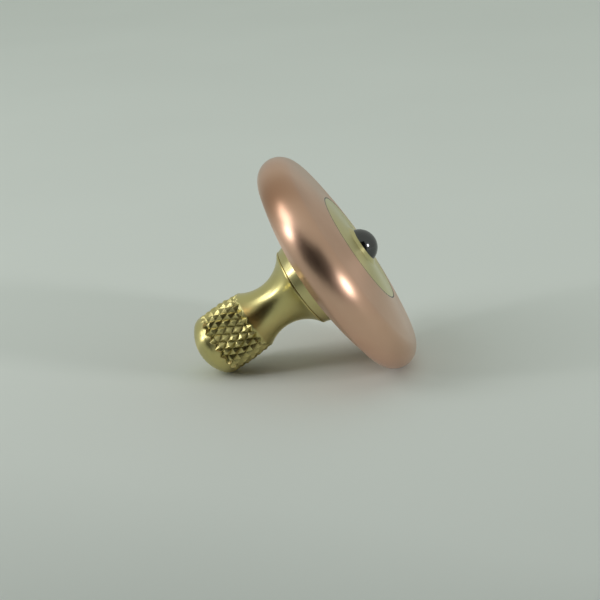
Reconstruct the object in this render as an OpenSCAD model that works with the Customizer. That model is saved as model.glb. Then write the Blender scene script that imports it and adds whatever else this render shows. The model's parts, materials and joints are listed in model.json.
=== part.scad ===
// Finger spinning top: a copper flywheel on a brass core, a turned and
// knurled brass stem screwed into the core, and a ceramic ball for a tip.
// It is drawn as it lies at rest on a table, touching with its rim and its
// grip. Each piece is first made on the spin axis, with the ball's centre at
// z = 0, the tip side pointing up and the stem pointing down.

/* [Flywheel] */
// Outside diameter of the flywheel
flywheel_d = 32; // [26:0.5:44]
// Depth of the widest circle of the rim behind the ball's centre
rim_depth = 3.4; // [3.2:0.05:5]
// Radius of the rounded rim
rim_round = 2.55; // [1.5:0.05:3]
// Radius of the crown on the tip side, turned across the copper and the core
front_crown_r = 74; // [60:1:100]
// Radius of the crown on the stem side
back_crown_r = 45; // [36:1:80]

/* [Core] */
// Diameter of the core's disc, flush in the crown on the tip side
disc_d = 15.5; // [12.5:0.1:17]
// Depth of the back of the core's disc behind the ball's centre
disc_t = 2.6; // [1.5:0.1:3.2]
// Diameter of the core's neck, seen as a collar on the stem side
neck_d = 11.8; // [9:0.1:12.4]
// Height of the collar above the crown of the flywheel
collar_h = 1.3; // [0.5:0.05:2]
// How much narrower the collar is across at its end than at the copper
collar_taper = 0.8; // [0:0.05:1]
// Height of the lip that closes round the ball, above the ball's centre
cup_h = 0.75; // [0.55:0.05:1]
// Width of the foot of that lip round the ball's seat
cup_foot_w = 0.6; // [0.4:0.05:1.2]
// Width of the lip's top edge
cup_edge_w = 0.12; // [0.05:0.01:0.2]

/* [Tip ball] */
// Diameter of the ball
ball_d = 4.76; // [3:0.01:5.8]
// Point angle of the drilled seat under the ball
seat_angle = 118; // [90:1:140]

/* [Stem] */
// Diameter of the lip that seats on the collar
lip_d = 11; // [9:0.1:12]
// Thickness of the lip at its edge
lip_t = 0.2; // [0.2:0.05:1]
// Smallest diameter of the stem
waist_d = 6.2; // [4.5:0.1:7]
// Radius of the hollow curve from the lip through the waist to the grip
waist_curve_r = 5.3; // [4.5:0.1:7]
// Diameter of the stem's threaded spigot
spigot_d = 4; // [2.5:0.1:4.5]
// Length of the spigot inside the core
spigot_len = 4; // [2.5:0.1:4.4]

/* [Grip] */
// Diameter over the crests of the knurl, where the grip is widest
grip_d = 8.8; // [8:0.02:11]
// Length of the knurled band
knurl_len = 5.9; // [4:0.1:10]
// Distance from the start of the knurl to the widest place
grip_widest_at = 3.5; // [2:0.1:5]
// Radius of the barrel curve along the grip
grip_barrel_r = 16; // [12:0.5:60]
// Radius of the rounded edge between the grip and the domed end
end_round = 1.5; // [0.6:0.1:1.8]
// Height of the domed end past the last of the knurl's land
dome_h = 2.6; // [2:0.05:3.5]

/* [Knurl] */
// Number of grooves in each direction round the grip
knurl_count = 22; // [12:1:32]
// Length of one diamond along the axis
knurl_pitch = 1.96; // [1:0.02:4]
// Depth of the grooves
knurl_depth = 0.4; // [0.1:0.05:0.6]

/* [Fits] */
// Radial gap between the core and the flywheel, drawn as a light press fit
press_gap = 0.01; // [0.005:0.005:0.05]
// Radial gap round the ball in its seat
ball_gap = 0.01; // [0.005:0.005:0.05]
// Radial gap round the spigot, where the thread engages
thread_gap = 0.05; // [0.02:0.01:0.15]
// Gap between faces that meet along the spin axis
seat_gap = 0.02; // [0.01:0.01:0.1]
// Bevel that breaks each machined edge at a seam
edge_break = 0.12; // [0.05:0.01:0.15]

/* [Hidden] */
$fn = 120;
arc_step = 4;          // degrees between points along a curve of a turned profile

// Flywheel: rim circle, front crown and back crown, all tangent. Both crowns
// are spheres with their centres on the spin axis
rim_r = flywheel_d / 2 - rim_round;
recess_r = disc_d / 2 + press_gap;
front_centre = -rim_depth - sqrt((front_crown_r - rim_round) ^ 2 - rim_r ^ 2);
front_angle = asin(rim_r / (front_crown_r - rim_round));
back_centre = sqrt((back_crown_r - rim_round) ^ 2 - rim_r ^ 2) - rim_depth;
back_angle = asin(rim_r / (back_crown_r - rim_round));
function front_z(r) = front_centre + sqrt(front_crown_r ^ 2 - r ^ 2);
function back_z(r) = back_centre - sqrt(back_crown_r ^ 2 - r ^ 2);

// Core
disc_r = disc_d / 2;
neck_r = neck_d / 2;
collar_r = neck_r - collar_taper / 2;
seam_z = back_z(neck_r) - collar_h;
ball_r = ball_d / 2;
seat_r = ball_r + ball_gap;
seat_half = seat_angle / 2;
cone_tip_z = -ball_r / sin(seat_half);
seat_floor_z = cone_tip_z + seat_r / tan(seat_half);
cup_top_r = sqrt(seat_r ^ 2 - cup_h ^ 2) + cup_edge_w;
cup_foot_r = seat_r + cup_foot_w;
hole_spare = 0.4;      // hole left past the end of the spigot

// Stem: hollow curve, barrel, rounded edge and dome, end to end. The hollow
// curve ends on the circle where the barrel starts
lip_r = lip_d / 2;
waist_r = waist_d / 2;
lip_top_z = seam_z - seat_gap;
lip_z = lip_top_z - lip_t;
curve_c = waist_r + waist_curve_r;
waist_z = lip_z - sqrt(waist_curve_r ^ 2 - (curve_c - lip_r) ^ 2);
grip_r = grip_d / 2;
start_r = grip_r - grip_barrel_r + sqrt(grip_barrel_r ^ 2 - grip_widest_at ^ 2);
start_z = waist_z - sqrt(waist_curve_r ^ 2 - (curve_c - start_r) ^ 2);
function barrel_r(z) = grip_r - grip_barrel_r
    + sqrt(grip_barrel_r ^ 2 - (z - start_z + grip_widest_at) ^ 2);
knurl_end_z = start_z - knurl_len;
end_land = 0.15;       // plain land after the last groove
end_z = knurl_end_z - end_land;
end_c = barrel_r(end_z) - end_round;
dome_rise = (end_c ^ 2 - (dome_h - end_round) ^ 2) / (2 * (dome_h - end_round));
dome_r = dome_rise + dome_h;
dome_c = end_z + dome_rise;
dome_edge = atan2(end_c, dome_c - end_z);

// Knurl: a ring of alternating crests and roots on every half diamond
columns = 2 * knurl_count;
rows = max(2, round(2 * knurl_len / knurl_pitch));
row_step = knurl_len / rows;
crest_drop = 0.03;     // cut taken off the blank at the crests
run_out = 0.35;        // share of a row over which the grooves leave the surface
cutter_wall = 1.2;

// Rest pose: the rim and one circle of the grip touch the table. Each circle
// that could touch is [radius from the axis, z, round radius].
grip_circles = concat([[end_c, end_z, end_round]],
    [for (i = [0 : rows]) [barrel_r(start_z - i * row_step), start_z - i * row_step, 0]]);
function touch_angle(c) = atan2(rim_r - c[0], -rim_depth - c[1])
    + asin((rim_round - c[2]) / norm([rim_r - c[0], -rim_depth - c[1]]));
lie_angle = min([for (c = grip_circles) touch_angle(c)]);
lift = rim_r * cos(lie_angle) + rim_round + rim_depth * sin(lie_angle);
front_x = max(ball_r, -rim_depth * cos(lie_angle) + rim_r * sin(lie_angle) + rim_round);
tail_x = dome_c * cos(lie_angle) - dome_r;
shift = -(front_x + tail_x) / 2;

// Points along an arc, from angle a to angle b about the centre c
function arc(c, r, a, b) = let (n = max(4, ceil(abs(b - a) / arc_step)))
    [for (i = [0 : n]) c + r * [cos(a + (b - a) * i / n), sin(a + (b - a) * i / n)]];

// Angles, seen from the centre of the hollow curve, of the lip and the grip
lip_angle = 180 - acos((curve_c - lip_r) / waist_curve_r);
start_angle = 180 + acos((curve_c - start_r) / waist_curve_r);
barrel_c = [grip_r - grip_barrel_r, start_z - grip_widest_at];
barrel_from = -asin((start_z - barrel_c[1]) / grip_barrel_r);
barrel_to = asin((barrel_c[1] - end_z) / grip_barrel_r);

module lie_down() {
    translate([shift, 0, lift]) rotate([0, 90 - lie_angle, 0]) children();
}

// Points along the crown on the tip side, from radius a out to radius b
function front_arc(a, b) = arc([0, front_centre], front_crown_r,
    acos(a / front_crown_r), acos(b / front_crown_r));

module flywheel_blank() {
    bore_r = neck_r + press_gap;
    recess_z = -disc_t - seat_gap;
    rotate_extrude() polygon(concat(
        [[bore_r, recess_z], [recess_r, recess_z], [recess_r, front_z(recess_r) - edge_break]],
        front_arc(recess_r + edge_break, rim_r + rim_round * sin(front_angle)),
        arc([rim_r, -rim_depth], rim_round, 90 - front_angle, back_angle - 90),
        arc([0, back_centre], back_crown_r, back_angle - 90, asin(bore_r / back_crown_r) - 90)));
}

module flywheel() {
    color("#c08a6e") lie_down() flywheel_blank();
}

module core() {
    color("#c3b878") lie_down() difference() {
        rotate_extrude() polygon(concat(
            [[0, cup_h], [cup_top_r, cup_h]],
            front_arc(cup_foot_r, disc_r - edge_break),
            [[disc_r, front_z(disc_r) - edge_break], [disc_r, -disc_t], [neck_r, -disc_t],
             [neck_r, back_z(neck_r)], [collar_r, seam_z + edge_break],
             [collar_r - edge_break, seam_z], [0, seam_z]]));
        sphere(r = seat_r);
        translate([0, 0, seat_floor_z]) cylinder(r = seat_r, h = -seat_floor_z);
        translate([0, 0, cone_tip_z])
            cylinder(r1 = 0, r2 = seat_r, h = seat_floor_z - cone_tip_z);
        translate([0, 0, seam_z - 1])
            cylinder(r = spigot_d / 2 + thread_gap, h = spigot_len + hole_spare + 1);
    }
}

module stem_blank() {
    rotate_extrude() polygon(concat(
        [[0, lip_top_z], [lip_r - edge_break, lip_top_z], [lip_r, lip_top_z - edge_break]],
        arc([curve_c, waist_z], waist_curve_r, lip_angle, start_angle),
        arc(barrel_c, grip_barrel_r, -barrel_from, -barrel_to),
        arc([end_c, end_z], end_round, 0, dome_edge - 90),
        arc([0, dome_c], dome_r, dome_edge - 90, -90)));
}

// Ring of metal that the knurling takes away: its inner wall is the row of
// pyramids, and at both ends the wall runs out past the blank
module knurl_cutter() {
    function depth_at(i, k) = (i + k) % 2 == 0 ? crest_drop
        : crest_drop + knurl_depth * (i == 0 || i == rows ? 0.5 : 1);
    ends = row_step * run_out;
    inner = [for (i = [0 : rows]) [for (k = [0 : columns - 1])
        [barrel_r(start_z - i * row_step) - depth_at(i, k), start_z - i * row_step]]];
    flat = function(r, z) [for (k = [0 : columns - 1]) [r, z]];
    rings = concat([flat(barrel_r(start_z) + 0.3, start_z + ends)], inner,
        [flat(barrel_r(knurl_end_z) + 0.3, knurl_end_z - ends),
         flat(grip_r + cutter_wall, knurl_end_z - ends),
         flat(grip_r + cutter_wall, start_z + ends)]);
    m = len(rings);
    points = [for (ring = rings) for (k = [0 : columns - 1])
        let (a = 360 * k / columns) [ring[k][0] * cos(a), ring[k][0] * sin(a), ring[k][1]]];
    id = function(i, k) (i % m) * columns + k % columns;
    faces = [for (i = [0 : m - 1]) for (k = [0 : columns - 1])
        for (t = (i + k) % 2 == 0
            ? [[id(i, k), id(i + 1, k), id(i + 1, k + 1)], [id(i, k), id(i + 1, k + 1), id(i, k + 1)]]
            : [[id(i, k), id(i + 1, k), id(i, k + 1)], [id(i, k + 1), id(i + 1, k), id(i + 1, k + 1)]])
        t];
    polyhedron(points, faces);
}

module stem() {
    color("#bfb477") lie_down() {
        difference() {
            stem_blank();
            knurl_cutter();
        }
        translate([0, 0, lip_top_z - 1]) cylinder(d = spigot_d, h = spigot_len + 1);
    }
}

module tip_ball() {
    color("#26292c") lie_down() sphere(r = ball_r);
}

flywheel();
core();
stem();
tip_ball();
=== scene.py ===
import json
from math import cos, radians, sin, tau

import bpy
import numpy as np
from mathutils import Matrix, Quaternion, Vector


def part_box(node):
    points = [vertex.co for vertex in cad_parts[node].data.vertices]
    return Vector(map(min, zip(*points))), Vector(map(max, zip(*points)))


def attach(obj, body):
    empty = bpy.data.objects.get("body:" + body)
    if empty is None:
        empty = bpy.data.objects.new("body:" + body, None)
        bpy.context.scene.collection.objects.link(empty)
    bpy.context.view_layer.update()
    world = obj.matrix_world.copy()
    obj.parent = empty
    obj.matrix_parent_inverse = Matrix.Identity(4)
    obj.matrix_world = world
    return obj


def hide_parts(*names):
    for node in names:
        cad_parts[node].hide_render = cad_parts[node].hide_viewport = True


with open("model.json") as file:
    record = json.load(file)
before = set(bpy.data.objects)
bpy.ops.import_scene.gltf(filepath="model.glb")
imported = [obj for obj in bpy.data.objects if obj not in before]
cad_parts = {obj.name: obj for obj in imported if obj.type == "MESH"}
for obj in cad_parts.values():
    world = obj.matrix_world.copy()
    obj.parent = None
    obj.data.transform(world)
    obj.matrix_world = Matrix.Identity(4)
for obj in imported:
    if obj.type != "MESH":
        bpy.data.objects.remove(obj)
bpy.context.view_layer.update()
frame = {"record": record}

# ---------------------------------------------------------------- camera
# The camera stands close by with a long lens, a little above the table, turned
# slightly on its own axis. Its place is given from the middle of the tip ball,
# which is where every turned piece has its zero.
MM = 0.001
ball_low, ball_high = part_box("tip_ball")
zero = (ball_low + ball_high) / 2
camera_distance = 220.2
camera_azimuth = -91.20
camera_elevation = 16.36
heading = 91.005
look_down = 18.0
roll = -3.97
focal_length = 102.0


def direction(azimuth, elevation):
    """Unit vector at an azimuth round +Z from +X and an elevation above the table, in degrees."""
    a, e = radians(azimuth), radians(elevation)
    return Vector((cos(e) * cos(a), cos(e) * sin(a), sin(e)))


camera = bpy.data.objects.new("camera", bpy.data.cameras.new("camera"))
camera.data.lens = focal_length
camera.data.sensor_width = 36.0
camera.data.clip_start = 0.01
camera.location = zero + direction(camera_azimuth, camera_elevation) * camera_distance * MM
camera.rotation_mode = "QUATERNION"
camera.rotation_quaternion = (direction(heading, -look_down).to_track_quat("-Z", "Y")
                              @ Quaternion((0, 0, 1), radians(roll)))
bpy.context.scene.collection.objects.link(camera)
bpy.context.scene.camera = camera
bpy.context.scene.view_settings.view_transform = "Standard"


# ---------------------------------------------------------------- table
# A sheet of pale matt paper lies on the table under the top. It has a faint
# uneven tone, as paper has under soft light, and no gloss.
def colour(code):
    """Linear RGBA of an sRGB hex colour."""
    srgb = np.array([int(code[i:i + 2], 16) / 255 for i in (1, 3, 5)])
    linear = np.where(srgb <= 0.04045, srgb / 12.92, ((srgb + 0.055) / 1.055) ** 2.4)
    return (*linear.tolist(), 1.0)


def add(tree, kind, values=(), links=(), **settings):
    """Adds a node: settings are its attributes, values its input values, links its inputs' sources."""
    node = tree.nodes.new(kind)
    for key, value in settings.items():
        setattr(node, key, value)
    for key, value in dict(values).items():
        node.inputs[key].default_value = value
    for key, source in dict(links).items():
        tree.links.new(source, node.inputs[key])
    return node


def new_material(name, **shader):
    """A material with one Principled shader and its constant inputs, named with _ for a space.

    Returns (material, tree, shader).
    """
    material = bpy.data.materials.new(name)
    material.use_nodes = True
    tree = material.node_tree
    principled = tree.nodes["Principled BSDF"]
    for key, value in shader.items():
        principled.inputs[key.replace("_", " ")].default_value = value
    return material, tree, principled


def ramp(tree, factor, stops):
    """A colour ramp over a factor, with (place, colour) stops."""
    node = add(tree, "ShaderNodeValToRGB", links={"Fac": factor})
    for n, (place, value) in enumerate(stops):
        element = node.color_ramp.elements[n] if n < 2 else node.color_ramp.elements.new(place)
        element.position = place
        element.color = value
    return node


paper_half = 2000 * MM
tones_per_metre = 14.0
paper_tones = ("#d6dbd7", "#d9deda")

floor_mesh = bpy.data.meshes.new("floor")
signs = ((-1, -1), (1, -1), (1, 1), (-1, 1))
floor_mesh.from_pydata([(x * paper_half, y * paper_half, 0) for x, y in signs], [], [(0, 1, 2, 3)])
floor = bpy.data.objects.new("floor", floor_mesh)
bpy.context.scene.collection.objects.link(floor)
paper, tree, shader = new_material("matt_paper", Roughness=0.9, Specular_IOR_Level=0.2)
where = add(tree, "ShaderNodeTexCoord").outputs["Object"]
tone = add(tree, "ShaderNodeTexNoise", values={"Scale": tones_per_metre, "Detail": 2.0},
           links={"Vector": where})
shade = ramp(tree, tone.outputs["Fac"], [(0.3, colour(paper_tones[0])), (0.7, colour(paper_tones[1]))])
tree.links.new(shade.outputs["Color"], shader.inputs["Base Color"])
floor_mesh.materials.append(paper)

# ---------------------------------------------------------------- light
# Soft light in a pale room: a window on the left with a broad glow above it,
# and a small soft box on the right. A curved dark card on the camera's side,
# which the camera sees through, gives the metals their dark patches.
room_low = "#b4b9b2"
room_high = "#bfc5bd"
window_azimuth = -165.0
window_elevation = 16.0
window_size = (60, 110)
window_power = 0.42
sky_elevation = 42.0
sky_size = (240, 260)
sky_power = 0.6
soft_box_azimuth = -31.0
soft_box_elevation = 17.5
soft_box_size = (75, 110)
soft_box_power = 0.68
light_distance = 520
card_radius = 185
card_from, card_to = -148, -43
card_height = 235
card_posts = 24
card_tint = "#170d06"

world = bpy.data.worlds.new("pale_room")
bpy.context.scene.world = world
world.use_nodes = True
tree = world.node_tree
where = add(tree, "ShaderNodeTexCoord").outputs["Generated"]
up = add(tree, "ShaderNodeSeparateXYZ", links={"Vector": where}).outputs["Z"]
walls = ramp(tree, up, [(0.0, colour(room_low)), (0.75, colour(room_high))])
tree.links.new(walls.outputs["Color"], tree.nodes["Background"].inputs["Color"])


def soft_light(name, azimuth, elevation, size, power):
    """A rectangular area light aimed at the top: angles in degrees, size in mm, power in watts."""
    lamp = bpy.data.lights.new(name, "AREA")
    lamp.shape = "RECTANGLE"
    lamp.size, lamp.size_y = size[0] * MM, size[1] * MM
    lamp.energy = power
    holder = bpy.data.objects.new(name, lamp)
    away = direction(azimuth, elevation)
    holder.location = Vector((0, 0, zero.z)) + away * light_distance * MM
    holder.rotation_mode = "QUATERNION"
    holder.rotation_quaternion = (-away).to_track_quat("-Z", "Y")
    bpy.context.scene.collection.objects.link(holder)


soft_light("window", window_azimuth, window_elevation, window_size, window_power)
soft_light("sky_glow", window_azimuth, sky_elevation, sky_size, sky_power)
soft_light("soft_box", soft_box_azimuth, soft_box_elevation, soft_box_size, soft_box_power)

sweep = np.radians(np.linspace(card_from, card_to, card_posts))
foot = np.c_[np.cos(sweep), np.sin(sweep), 0 * sweep] * card_radius * MM
card_mesh = bpy.data.meshes.new("dark_card")
card_mesh.from_pydata(np.r_[foot, foot + (0, 0, card_height * MM)].tolist(), [],
                      [(i, i + 1, i + 1 + card_posts, i + card_posts) for i in range(card_posts - 1)])
card = bpy.data.objects.new("dark_card", card_mesh)
bpy.context.scene.collection.objects.link(card)

# Dyed card, dead matt and a warm black: the metals show it as a brown dark.
black_card, tree, shader = new_material("black_card", Roughness=1.0, Base_Color=colour(card_tint))
card_mesh.materials.append(black_card)
card.visible_camera = False


# ---------------------------------------------------------------- flywheel
# The flywheel is a ring of bare copper, turned on a lathe with crowned faces
# and a rounded rim, and pressed on the core. The fine lay of the turning runs
# round it, so a light draws out into a streak across the lay.
tip_mount = next(mount for mount in frame["record"]["mounts"] if mount["name"] == "spin_tip")
spin = Vector(tip_mount["axis"]).normalized()
side = Vector((spin.z, 0, -spin.x))
across = spin.cross(side)
placing = np.array([side, across, spin])

flywheel_d = 32.0
rim_depth = 3.4
rim_round = 2.55
front_crown_r = 74.0
back_crown_r = 45.0
disc_d = 15.5
disc_back = -2.6
neck_d = 11.8
press_gap = 0.01
seat_gap = 0.02
edge_round = 0.12
mouth_break = 0.02
crown_step = 0.2
copper_columns = 420
# The painted shade on the seam round the disc: its half width, its reach along the axis and its colour.
seam_shade_half_width = 0.08
seam_shade_depth = 1.0
seam_shade_tint = "#2c2419"
# The painted dark reflection near the rim: where it sits, how far it reaches, how strong it is and its
# colour.
dark_reflection_turn = 30.0
dark_reflection_height = -4.4
dark_reflection_r = 15.2
dark_reflection_reach = 6.0
dark_reflection_share = 0.7
dark_reflection_tint = "#a8795c"
line_spacing = 0.2
line_breaks = 3.0
satin_swing = 0.03
blooms_per_metre = 90.0

rim_r = flywheel_d / 2 - rim_round
front_centre = -rim_depth - np.sqrt((front_crown_r - rim_round) ** 2 - rim_r ** 2)
front_angle = np.degrees(np.arcsin(rim_r / (front_crown_r - rim_round)))
back_centre = np.sqrt((back_crown_r - rim_round) ** 2 - rim_r ** 2) - rim_depth
back_angle = np.degrees(np.arcsin(rim_r / (back_crown_r - rim_round)))


def arc(centre, radius, start, end, step=0.12):
    """Points along a circle from one angle to another, a step apart: centre + radius * (cos, sin).

    A point is (radius from the spin axis, height along it) in mm.
    """
    count = max(3, int(np.ceil(abs(radians(end - start)) * radius / step)) + 1)
    t = np.radians(np.linspace(start, end, count))
    return np.c_[centre[0] + radius * np.cos(t), centre[1] + radius * np.sin(t)]


def line(start, end, step=0.25):
    """Points along a straight line, a step apart in mm."""
    start, end = np.array(start, float), np.array(end, float)
    count = max(2, int(np.ceil(np.linalg.norm(end - start) / step)) + 1)
    return start + np.linspace(0, 1, count)[:, None] * (end - start)


def rounded(corners, radius=edge_round):
    """An outline through runs of points, each meeting of two runs rounded.

    Each run is cut back from the meeting by its radius, and a quadratic curve through
    the meeting point joins the ends: (1-t)^2 a + 2t(1-t) corner + t^2 b.
    """
    t = np.linspace(0, 1, 7)[1:-1, None]
    radii = [0, *np.broadcast_to(radius, len(corners) - 1), 0]
    out = []
    for run, head, tail in zip(corners, radii, radii[1:]):
        kept = run
        if head:
            kept = kept[np.linalg.norm(kept - run[0], axis=1) > head]
            begin = run[0] + (run[1] - run[0]) / np.linalg.norm(run[1] - run[0]) * head
            out.append((1 - t) ** 2 * out[-1][-1] + 2 * t * (1 - t) * run[0] + t ** 2 * begin)
            out.append(begin[None])
        if tail:
            kept = kept[np.linalg.norm(kept - run[-1], axis=1) > tail]
        out.append(kept)
        if tail:
            out.append((run[-1] + (run[-2] - run[-1]) / np.linalg.norm(run[-2] - run[-1]) * tail)[None])
    return np.vstack(out)


def turned(name, outline, count, cut=None, body="root"):
    """A solid of revolution about the spin axis, as one closed mesh of triangles.

    The outline runs from the tip side outwards and down to the stem side, in mm. A point
    is zero + height * spin + (radius - cut) * (cos a * side + sin a * across). Rows on the
    axis become one point, an outline that ends where it starts closes on itself, and each
    small square is split along the diagonal whose middle lies nearer the true surface,
    taken from the cut at the square's middle. The UV map "lay" holds the share of the
    outline's length and the share of the turn. A cut leaves its depth in mm in the attribute
    "groove", and its facets are shaded flat. Returns the object and the outline's length.
    """
    rows = len(outline)
    share = np.arange(count)[None] / count
    depth = np.zeros((rows, count)) if cut is None else cut(outline[:, 1:2], share)
    a = share[0] * tau
    reach = outline[:, 0:1] - depth
    local = np.stack([reach * np.cos(a), reach * np.sin(a), outline[:, 1:2] + 0 * reach], axis=2)
    points = (local @ placing * MM + np.array(zero)).reshape(-1, 3)
    index = np.arange(rows * count).reshape(rows, count)
    on_axis = outline[:, 0] < 1e-6
    index[on_axis] = index[on_axis, :1]
    if np.allclose(outline[0], outline[-1]):
        index[-1] = index[0]
    index = np.c_[index, index[:, :1]]
    i, j = np.meshgrid(np.arange(rows - 1), np.arange(count), indexing="ij")
    lean = np.zeros(i.shape, bool)
    if cut is not None:
        wrapped = np.c_[depth, depth[:, :1]]
        middle = (outline[:-1, 1:2] + outline[1:, 1:2]) / 2
        true = cut(middle, (np.arange(count)[None] + 0.5) / count)
        one = (wrapped[:-1, :-1] + wrapped[1:, 1:]) / 2
        other = (wrapped[:-1, 1:] + wrapped[1:, :-1]) / 2
        lean = abs(other - true) < abs(one - true)
    corner_i = np.stack([i, i + 1, np.where(lean, i, i + 1), np.where(lean, i + 1, i), i + 1, i], 2)
    corner_j = np.stack([j, j, j + 1, j, j + 1, j + 1], 2)
    corner_i, corner_j = corner_i.reshape(-1, 3), corner_j.reshape(-1, 3)
    faces = index[corner_i, corner_j]
    whole = (faces != np.roll(faces, 1, axis=1)).all(axis=1)
    faces, corner_i, corner_j = faces[whole], corner_i[whole], corner_j[whole]
    used, faces = np.unique(faces, return_inverse=True)
    points, faces = points[used], faces.reshape(-1, 3)
    length = np.r_[0, np.cumsum(np.linalg.norm(np.diff(outline, axis=0), axis=1))]
    mesh = bpy.data.meshes.new(name)
    mesh.from_pydata(points.tolist(), [], faces.tolist())
    lay = mesh.uv_layers.new(name="lay")
    uv = np.stack([length[corner_i] / length[-1], corner_j / count], axis=2)
    lay.data.foreach_set("uv", uv.astype(np.float32).ravel())
    mesh.shade_smooth()
    if cut is not None:
        deep = depth.reshape(-1)[used].astype(np.float32)
        mesh.attributes.new("groove", "FLOAT", "POINT").data.foreach_set("value", deep)
        mesh.polygons.foreach_set("use_smooth", deep[faces].max(axis=1) == 0)
    piece = bpy.data.objects.new(name, mesh)
    bpy.context.scene.collection.objects.link(piece)
    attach(piece, body)
    return piece, length[-1]


def front_arc(inner, outer):
    """Points along the crown on the tip side, between two radii."""
    return arc((0, front_centre), front_crown_r, np.degrees(np.arccos(inner / front_crown_r)),
               np.degrees(np.arccos(outer / front_crown_r)), crown_step)


def back_arc(outer, inner):
    """Points along the crown on the stem side, between two radii."""
    return arc((0, back_centre), back_crown_r, -np.degrees(np.arccos(outer / back_crown_r)),
               -np.degrees(np.arccos(inner / back_crown_r)), crown_step)


bore_r = neck_d / 2 + press_gap
recess_r = disc_d / 2 + press_gap
recess_z = disc_back - seat_gap
front_of_copper = front_arc(recess_r, rim_r + rim_round * sin(radians(front_angle)))
rim = arc((rim_r, -rim_depth), rim_round, 90 - front_angle, back_angle - 90)
back_of_copper = back_arc(rim_r + rim_round * sin(radians(back_angle)), bore_r)
crown = np.vstack([front_of_copper, rim[1:], back_of_copper[1:]])
copper_outline = rounded([
    crown,
    line(crown[-1], (bore_r, recess_z)),
    line((bore_r, recess_z), (recess_r, recess_z)),
    line((recess_r, recess_z), crown[0])])
# The outline closes at the mouth of the recess, whose edge is hardly broken
mouth = crown[0] + np.array([(0, -edge_round), (mouth_break, -mouth_break)])
copper_outline = np.vstack([copper_outline[:-1], mouth, copper_outline[0]])
flywheel, flywheel_run = turned("turned_flywheel", copper_outline, copper_columns)


def turned_metal(name, tint, bloom_tint, run, roughness, lay_depth, streak):
    """A satin turned metal, lit by its own lay. Returns (material, tree, shader).

    The lay is noise stretched round the piece: fine lines a tenth of a millimetre apart
    in the real part, drawn at twice that so that they show. It moves the normal a little
    and the roughness a little, and a slow drift of the base colour is the handling bloom.
    """
    material, tree, shader = new_material(name, Metallic=1.0, Anisotropic=streak)
    chart = add(tree, "ShaderNodeUVMap", uv_map="lay").outputs["UV"]
    tangent = add(tree, "ShaderNodeTangent", direction_type="UV_MAP", uv_map="lay")
    tree.links.new(tangent.outputs["Tangent"], shader.inputs["Tangent"])
    fine = add(tree, "ShaderNodeMapping", values={"Scale": (run / line_spacing, line_breaks, 1.0)},
               links={"Vector": chart})
    lay = add(tree, "ShaderNodeTexNoise", values={"Scale": 1.0, "Detail": 3.0, "Roughness": 0.6},
              links={"Vector": fine.outputs["Vector"]})
    bump = add(tree, "ShaderNodeBump", values={"Strength": 1.0, "Distance": lay_depth * MM},
               links={"Height": lay.outputs["Fac"]})
    tree.links.new(bump.outputs["Normal"], shader.inputs["Normal"])
    satin = add(tree, "ShaderNodeMapRange", links={"Value": lay.outputs["Fac"]},
                values={"To Min": roughness - satin_swing, "To Max": roughness + satin_swing})
    tree.links.new(satin.outputs["Result"], shader.inputs["Roughness"])
    where = add(tree, "ShaderNodeTexCoord").outputs["Object"]
    bloom = add(tree, "ShaderNodeTexNoise", values={"Scale": blooms_per_metre, "Detail": 4.0},
                links={"Vector": where})
    drift = ramp(tree, bloom.outputs["Fac"], [(0.35, colour(bloom_tint)), (0.65, colour(tint))])
    tree.links.new(drift.outputs["Color"], shader.inputs["Base Color"])
    return material, tree, shader


def tinge(tree, shader, share, tint):
    """Lays a tint over the base colour: base * (1 - share) + tint * share, from a share socket."""
    over = add(tree, "ShaderNodeMix", data_type="RGBA")
    over.inputs[7].default_value = colour(tint)
    tree.links.new(share, over.inputs[0])
    tree.links.new(shader.inputs["Base Color"].links[0].from_socket, over.inputs[6])
    tree.links.new(over.outputs[2], shader.inputs["Base Color"])


def paint_seam_shade(tree, shader, radius):
    """Paints shade on a metal on a circle about the spin axis, on the tip side: painted shade in the seam
    between two parts.

    The distance from the axis is the length of (place - zero) x spin, and the side is
    told by (place - zero) . spin.
    """
    where = add(tree, "ShaderNodeTexCoord").outputs["Object"]
    out = add(tree, "ShaderNodeVectorMath", values={1: zero}, links={0: where}, operation="SUBTRACT")
    out = out.outputs["Vector"]
    cross = add(tree, "ShaderNodeVectorMath", values={1: spin}, links={0: out}, operation="CROSS_PRODUCT")
    reach = add(tree, "ShaderNodeVectorMath", links={0: cross.outputs["Vector"]}, operation="LENGTH")
    ring = add(tree, "ShaderNodeMath", values={1: radius * MM, 2: seam_shade_half_width * MM},
               links={0: reach.outputs["Value"]}, operation="COMPARE")
    height = add(tree, "ShaderNodeVectorMath", values={1: spin}, links={0: out}, operation="DOT_PRODUCT")
    in_front = add(tree, "ShaderNodeMath", values={1: -seam_shade_depth * MM},
                   links={0: height.outputs["Value"]}, operation="GREATER_THAN")
    share = add(tree, "ShaderNodeMath", links={0: ring.outputs["Value"], 1: in_front.outputs["Value"]},
                operation="MULTIPLY")
    tinge(tree, shader, share.outputs["Value"], seam_shade_tint)


# Bare copper with a satin turned finish: pale pink metal whose lights spread
#  across the lay, with a brown patch near the rim that is a painted dark reflection.
copper, tree, shader = turned_metal("satin_turned_copper", "#e0b8a0", "#d6ac93", flywheel_run,
                                    roughness=0.34, lay_depth=0.0012, streak=0.8)
# Painted shade: a dark line on the seam where the disc meets the copper.
paint_seam_shade(tree, shader, disc_d / 2)
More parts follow.
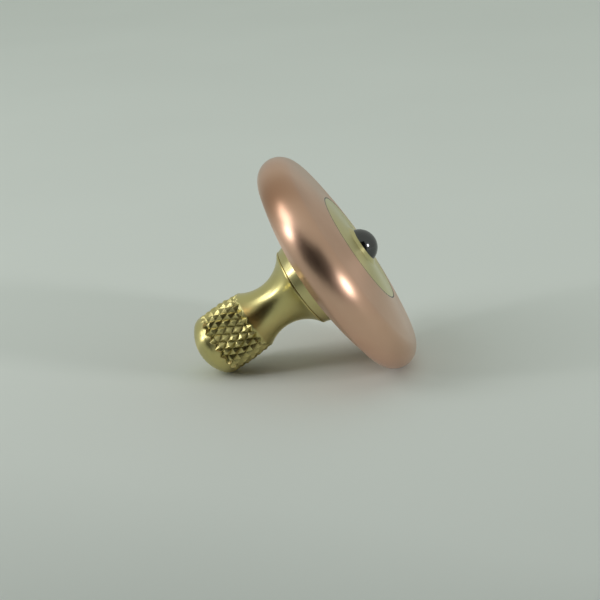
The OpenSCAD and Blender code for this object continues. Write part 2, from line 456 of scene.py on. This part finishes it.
# Painted reflection: a soft brown dark patch near the rim, strongest at its middle and fading out over
# its reach.
turn = radians(dark_reflection_turn)
outwards = -side * cos(turn) - across * sin(turn)
spot = zero + (spin * dark_reflection_height + outwards * dark_reflection_r) * MM
where = add(tree, "ShaderNodeTexCoord").outputs["Object"]
far = add(tree, "ShaderNodeVectorMath", values={1: spot}, links={0: where}, operation="DISTANCE")
near = add(tree, "ShaderNodeMapRange", interpolation_type="SMOOTHSTEP",
           values={"From Max": dark_reflection_reach * MM, "To Min": dark_reflection_share, "To Max": 0.0},
           links={"Value": far.outputs["Value"]})
tinge(tree, shader, near.outputs["Result"], dark_reflection_tint)
flywheel.data.materials.append(copper)
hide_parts("flywheel")

# ---------------------------------------------------------------- core
# The core is turned from free-cutting brass: a disc flush in the crown on the
# tip side, a neck through the copper and a tapered collar on the stem side. A
# lip rises round the ball, and a hole takes the stem's spigot.
disc_r = disc_d / 2
neck_r = neck_d / 2
collar_h = 1.3
collar_taper = 0.8
cup_h = 0.75
cup_foot_w = 0.6
cup_edge_w = 0.12
ball_d = 4.76
ball_gap = 0.01
seat_half = 59.0
spigot_d = 4.0
spigot_len = 4.0
thread_gap = 0.05
hole_spare = 0.4
small_edge = 0.06
cup_edge_round = 0.05
core_columns = 360

seat_r = ball_d / 2 + ball_gap
cone_tip = -ball_d / 2 / sin(radians(seat_half))
seat_floor = cone_tip + seat_r / np.tan(radians(seat_half))
collar_r = neck_r - collar_taper / 2
neck_end = back_centre - np.sqrt(back_crown_r ** 2 - neck_r ** 2)
seam = neck_end - collar_h
hole_r = spigot_d / 2 + thread_gap
hole_end = seam + spigot_len + hole_spare
cup_in = np.sqrt(seat_r ** 2 - cup_h ** 2)
cup_angle = np.degrees(np.arcsin(cup_h / seat_r))
face = front_arc(seat_r + cup_foot_w, disc_r)
seat = np.vstack([line((0, cone_tip), (seat_r, seat_floor)), line((seat_r, seat_floor), (seat_r, 0))[1:],
                  arc((0, 0), seat_r, 0, cup_angle, 0.06)[1:]])
core_outline = np.vstack([
    seat,
    rounded([line((cup_in, cup_h), (cup_in + cup_edge_w, cup_h), 0.02),
             line((cup_in + cup_edge_w, cup_h), face[0], 0.03),
             face,
             line(face[-1], (disc_r, disc_back)),
             line((disc_r, disc_back), (neck_r, disc_back)),
             line((neck_r, disc_back), (neck_r, neck_end)),
             line((neck_r, neck_end), (collar_r, seam), 0.05),
             line((collar_r, seam), (hole_r, seam)),
             line((hole_r, seam), (hole_r, hole_end)),
             line((hole_r, hole_end), (0, hole_end))],
            [cup_edge_round, small_edge, edge_round, *[small_edge] * 3, edge_round,
             *[small_edge] * 2])[1:]])
core_outline[-1, 0] = 0
core, core_run = turned("turned_core", core_outline, core_columns)

# Brass with a satin turned finish: pale yellow-green metal with a soft streak
# of light across the lay.
brass, tree, shader = turned_metal("satin_turned_brass", "#d9cf9a", "#cfc58e", core_run,
                                   roughness=0.32, lay_depth=0.001, streak=0.85)
# Painted shade: a dark line on the seam round the edge of the disc.
paint_seam_shade(tree, shader, disc_r)
core.data.materials.append(brass)
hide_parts("core")

# ---------------------------------------------------------------- stem
# The stem is turned from the same brass in one piece: a thin lip, a hollow
# curve through the waist, a barrel rolled with a diamond knurl, and a domed
# end. It screws into the core and seats with its lip on the collar.
lip_d = 11.0
lip_t = 0.2
waist_d = 6.2
waist_curve_r = 5.3
grip_d = 8.8
knurl_len = 5.9
widest_at = 3.5
barrel_round = 16.0
end_round = 1.5
dome_h = 2.6
end_land = 0.15
knurl_count = 22
knurl_rows = 6
knurl_depth = 0.4
crest_drop = 0.03
crest_flat = 0.03
crest_spread = 0.3
run_out = 0.7
stamp_mix = (12.99, 78.23, 437.58)
rows_per_cell = 10
columns_per_cell = 20
stem_edge = 0.08
burr_size = 0.2
burr_depth = 0.03
# The grooves' painted shade with a little grime: from what depth, how strong and what colour.
grime_and_shade_from = 0.1
grime_and_shade_share = 0.35
grime_and_shade_tint = "#5c4c24"
stem_streak = 0.85

lip_r = lip_d / 2
lip_top = seam - seat_gap
lip_z = lip_top - lip_t
curve_c = waist_d / 2 + waist_curve_r
waist_z = lip_z - np.sqrt(waist_curve_r ** 2 - (curve_c - lip_r) ** 2)
grip_r = grip_d / 2
start_r = grip_r - barrel_round + np.sqrt(barrel_round ** 2 - widest_at ** 2)
start_z = waist_z - np.sqrt(waist_curve_r ** 2 - (curve_c - start_r) ** 2)
barrel_c = (grip_r - barrel_round, start_z - widest_at)
band_end = start_z - knurl_len
end_z = band_end - end_land


def barrel(z):
    """Radius of the barrel curve at a height."""
    return barrel_c[0] + np.sqrt(barrel_round ** 2 - (z - barrel_c[1]) ** 2)


def knurl(z, share):
    """Depth cut by the knurl at a height and a share of the turn.

    Two families of V grooves cross: at whole numbers of share * count + half diamonds and
    of share * count - half diamonds. What stands between them is a pyramid whose height is
    twice the distance to the nearer groove, with its top taken off by an amount that changes
    from pyramid to pyramid, as rolled metal does not fill every cell: the fraction left of a
    large sine of its two numbers. Towards both ends of the band the grooves grow shallower
    and narrower, so that each runs out in a point, and outside the band nothing is cut.
    """
    down = (start_z - z) / knurl_len * knurl_rows / 2
    one, other = share * knurl_count + down, share * knurl_count - down
    rise = 2 * np.minimum(abs(one - np.round(one)), abs(other - np.round(other)))
    column, row = np.floor(one) % knurl_count, np.floor(other) % knurl_count
    stamp = np.sin(column * stamp_mix[0] + row * stamp_mix[1]) * stamp_mix[2] % 1
    rise = np.minimum(rise / (1 - crest_flat), 1 - crest_spread * stamp ** 2)
    inside = np.clip(np.minimum(down, knurl_rows / 2 - down) * 2 / run_out, 0, 1)
    return crest_drop * inside + knurl_depth * np.clip(inside - rise, 0, None)


end_c = barrel(end_z) - end_round
dome_rise = (end_c ** 2 - (dome_h - end_round) ** 2) / (2 * (dome_h - end_round))
dome_r = dome_rise + dome_h
dome_c = end_z + dome_rise
dome_edge = np.degrees(np.arctan2(end_c, dome_c - end_z))
lip_angle = 180 - np.degrees(np.arccos((curve_c - lip_r) / waist_curve_r))
start_angle = 180 + np.degrees(np.arccos((curve_c - start_r) / waist_curve_r))
hollow = arc((curve_c, waist_z), waist_curve_r, lip_angle, start_angle, 0.16)
band = np.linspace(start_z, band_end, knurl_rows * rows_per_cell + 1)
grip = np.r_[band, np.linspace(band_end, end_z, 4)[1:]]
spigot_end = lip_top + spigot_len
stem_outline = np.vstack([
    rounded([line((0, spigot_end), (spigot_d / 2, spigot_end), 0.3),
             line((spigot_d / 2, spigot_end), (spigot_d / 2, lip_top), 0.3),
             line((spigot_d / 2, lip_top), (lip_r, lip_top), 0.3),
             line((lip_r, lip_top), (lip_r, lip_z), 0.05),
             hollow], stem_edge),
    np.c_[barrel(grip), grip][1:],
    arc((end_c, end_z), end_round, 0, dome_edge - 90, 0.12)[1:],
    arc((0, dome_c), dome_r, dome_edge - 90, -90, 0.16)[1:]])
stem_outline[-1, 0] = 0
stem, stem_run = turned("turned_stem", stem_outline, knurl_count * columns_per_cell, cut=knurl)

# Brass with a satin turned finish, rolled in the band: there the streak goes,
#  fine burrs break the light up and the grooves are darker: painted shade with a little grime.
stem_brass, tree, shader = turned_metal("satin_knurled_brass", "#d9cf92", "#cdc284", stem_run,
                                        roughness=0.32, lay_depth=0.001, streak=stem_streak)
groove = add(tree, "ShaderNodeAttribute", attribute_name="groove").outputs["Fac"]
knurled = add(tree, "ShaderNodeMapRange", values={"From Max": crest_drop}, links={"Value": groove})
knurled = knurled.outputs["Result"]
# Painted shade in the knurl's grooves, with a little grime: the deeper the cut, the darker.
deep = add(tree, "ShaderNodeMapRange", links={"Value": groove},
           values={"From Min": grime_and_shade_from, "From Max": knurl_depth, "To Max": grime_and_shade_share})
tinge(tree, shader, deep.outputs["Result"], grime_and_shade_tint)
where = add(tree, "ShaderNodeTexCoord").outputs["Object"]
burr = add(tree, "ShaderNodeTexNoise", values={"Scale": 1 / (burr_size * MM), "Detail": 2.0},
           links={"Vector": where})
burr_height = add(tree, "ShaderNodeMath", links={0: burr.outputs["Fac"], 1: knurled},
                  operation="MULTIPLY")
rough = add(tree, "ShaderNodeBump", values={"Strength": 1.0, "Distance": burr_depth * MM},
            links={"Height": burr_height.outputs["Value"],
                   "Normal": shader.inputs["Normal"].links[0].from_socket})
tree.links.new(rough.outputs["Normal"], shader.inputs["Normal"])
even = add(tree, "ShaderNodeMapRange", values={"To Min": stem_streak, "To Max": 0.0},
           links={"Value": knurled})
tree.links.new(even.outputs["Result"], shader.inputs["Anisotropic"])
stem.data.materials.append(stem_brass)
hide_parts("stem")

# ---------------------------------------------------------------- tip ball
# The tip is a bearing ball of black silicon nitride, lapped nearly to a mirror
# and pressed into its seat in the core.
grain_size = 0.4
ball_columns = 200

ball_outline = arc((0, 0), ball_d / 2, 90, -90, 0.06)
ball_outline[[0, -1], 0] = 0
ball = turned("ceramic_ball", ball_outline, ball_columns)[0]

# Lapped silicon nitride: near black, with a sharp small light in it and a
# fine grain that hardly shows.
nitride, tree, shader = new_material("lapped_silicon_nitride", Metallic=0.0, Roughness=0.14, IOR=1.9)
where = add(tree, "ShaderNodeTexCoord").outputs["Object"]
grain = add(tree, "ShaderNodeTexNoise", values={"Scale": 1 / (grain_size * MM), "Detail": 2.0},
            links={"Vector": where})
dark = ramp(tree, grain.outputs["Fac"], [(0.4, colour("#0a0b0c")), (0.7, colour("#101214"))])
tree.links.new(dark.outputs["Color"], shader.inputs["Base Color"])
ball.data.materials.append(nitride)
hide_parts("tip_ball")
